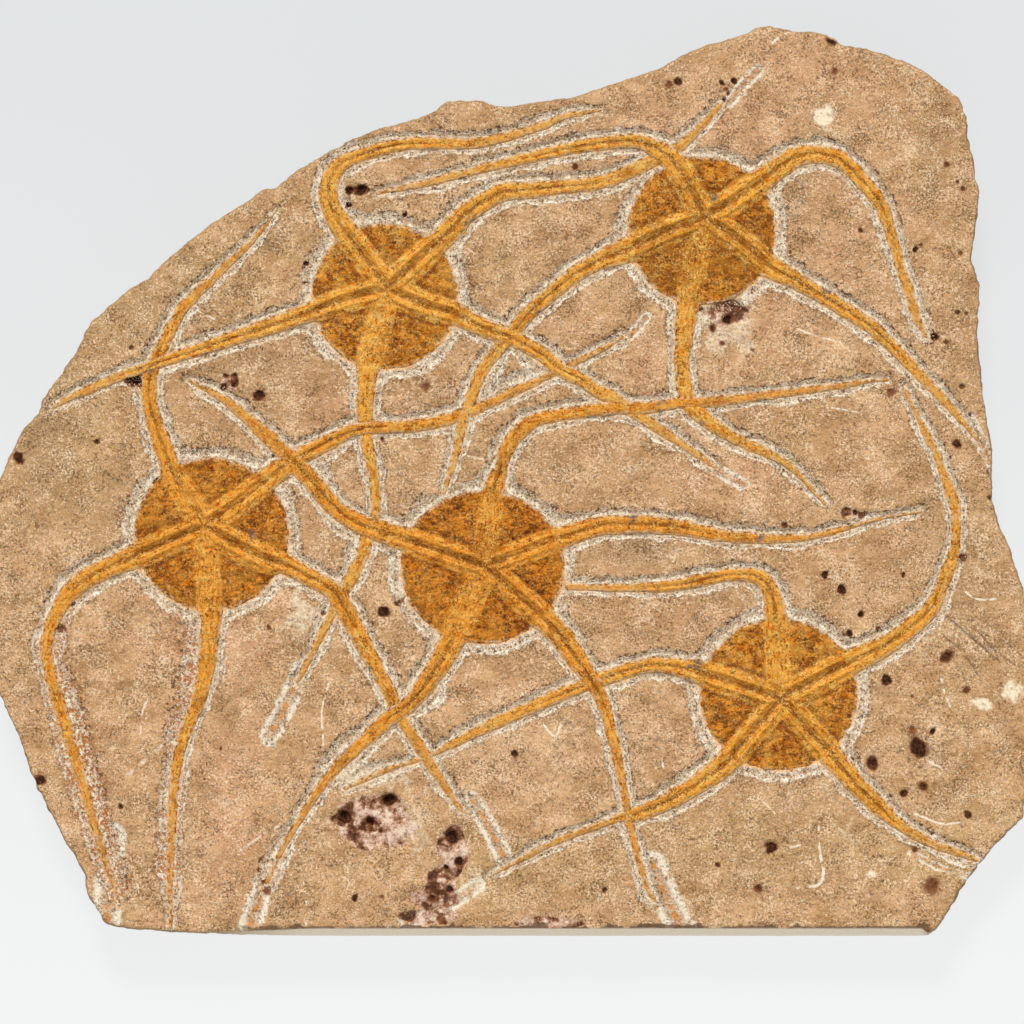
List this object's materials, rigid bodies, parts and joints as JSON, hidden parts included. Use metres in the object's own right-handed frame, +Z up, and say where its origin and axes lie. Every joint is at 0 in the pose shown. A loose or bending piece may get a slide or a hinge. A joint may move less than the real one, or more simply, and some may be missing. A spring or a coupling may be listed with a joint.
{
  "type": "fossil brittle star slab",
  "caption": "Broken stone slab with fossil brittle stars in relief on its face, their thin arms crossing in cleared channels, lying on its flat underside.",
  "frame": {"origin": "middle of the slab's box, on its flat underside", "axes": "+X along the slab's longer side, +Y away from the sawn side, +Z up out of the fossil face"},
  "size_m": [0.364, 0.32, 0.0223],
  "materials": {
    "sandy_stone": "matt fine sandy siltstone, pinkish tan with grey speckle, pale where it was cleared",
    "ochre_fossil": "matt ochre to rust mineral, fibrous and granular, weathered grey in patches"
  },
  "bodies": {
    "root": {"slab": "sandy_stone", "brittle_star_upper_left": "ochre_fossil", "brittle_star_upper_right": "ochre_fossil", "brittle_star_left": "ochre_fossil", "brittle_star_centre": "ochre_fossil", "brittle_star_lower_right": "ochre_fossil"}
  },
  "joints": []
}
